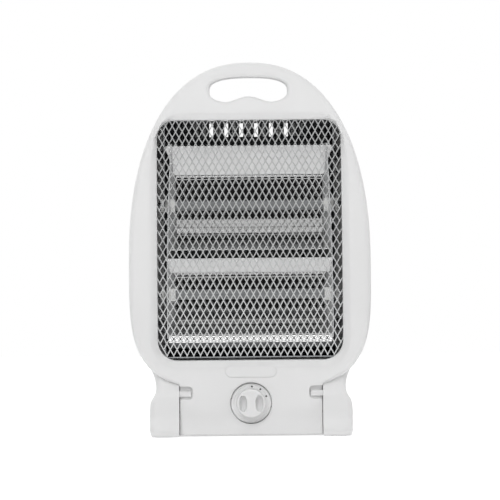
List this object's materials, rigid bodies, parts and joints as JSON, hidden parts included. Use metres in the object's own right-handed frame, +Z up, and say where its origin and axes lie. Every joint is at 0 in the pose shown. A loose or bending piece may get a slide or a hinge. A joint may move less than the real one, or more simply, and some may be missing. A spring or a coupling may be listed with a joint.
{
  "type": "halogen heater",
  "caption": "Free-standing quartz heater: oval white casing with grip hole on two side feet, wire guard over folded reflectors with quartz tubes, and a turn knob in the base.",
  "frame": {"origin": "middle of the footprint on the floor, under the four rubber soles", "axes": "+Z up, the guard and knob face -Y, +X to the right as seen from the front"},
  "size_m": [0.246, 0.12, 0.3824],
  "materials": {
    "casing": "white moulded plastic, softly glossy",
    "dark_plastic": "black moulded plastic",
    "light_plastic": "pale grey moulded plastic",
    "guard_wire": "bright plated expanded steel",
    "bright_reflector": "polished sheet",
    "steel": "plain bright zinc and steel",
    "quartz": "milky quartz",
    "filament": "dark resistance wire",
    "ceramic": "unglazed",
    "rubber": "dull black"
  },
  "bodies": {
    "casing": {"front_shell": "casing", "rear_shell": "casing", "foot_left": "casing", "foot_right": "casing", "dial_plate": "casing", "badge_plate": "casing", "cord_inlet_bush": "dark_plastic", "rotary_switch": "dark_plastic", "microswitch": "dark_plastic", "plunger_guide": "dark_plastic", "lead_upper_left": "dark_plastic", "lead_upper_right": "dark_plastic", "lead_lower_left": "dark_plastic", "lead_lower_right": "dark_plastic", "base_plate": "light_plastic", "terminal_block": "light_plastic", "guard": "guard_wire", "reflector_upper": "bright_reflector", "reflector_lower": "bright_reflector", "side_plate_left": "bright_reflector", "side_plate_right": "bright_reflector", "heat_shield": "steel", "thermal_cutout": "steel", "plunger_spring": "steel", "casing_screw_1": "steel", "casing_screw_2": "steel", "casing_screw_3": "steel", "casing_screw_4": "steel", "casing_screw_5": "steel", "casing_screw_6": "steel", "base_screw_1": "steel", "base_screw_2": "steel", "base_screw_3": "steel", "base_screw_4": "steel", "shield_screw_left_1": "steel", "shield_screw_left_2": "steel", "shield_screw_right_1": "steel", "shield_screw_right_2": "steel", "foot_screw_left_1": "steel", "foot_screw_right_1": "steel", "tube_pin_upper_left": "steel", "tube_pin_upper_right": "steel", "tube_pin_lower_left": "steel", "tube_pin_lower_right": "steel", "quartz_tube_upper": "quartz", "quartz_tube_lower": "quartz", "filament_upper": "filament", "filament_lower": "filament", "ceramic_block_upper_left": "ceramic", "ceramic_block_upper_right": "ceramic", "ceramic_block_lower_left": "ceramic", "ceramic_block_lower_right": "ceramic", "sole_left_front": "rubber", "sole_left_rear": "rubber", "sole_right_front": "rubber", "sole_right_rear": "rubber"},
    "knob": {"knob": "casing", "switch_shaft": "steel"},
    "plunger": {"tip_plunger": "light_plastic"},
    "lever": {"switch_lever": "steel"}
  },
  "joints": [
    {"name": "knob_turn", "type": "hinge", "parent": "casing", "child": "knob", "pos_m": [0, -0.045, 0.0335], "axis": [0, 1, 0], "range_deg": [0, 60]},
    {"name": "plunger_slide", "type": "slide", "parent": "casing", "child": "plunger", "axis": [0, 0, -1], "range_m": [0, 0.005], "stiffness_N_per_m": 60, "springref_m": 0.009, "deforming": ["plunger_spring"]},
    {"name": "lever_turn", "type": "hinge", "parent": "casing", "child": "lever", "pos_m": [0.058, 0.008, 0.02765], "axis": [0, -1, 0], "range_deg": [0, 15]}
  ],
  "couplings": [
    {"joint": "lever_turn", "follows": "plunger_slide", "rad_per_m": 52}
  ]
}
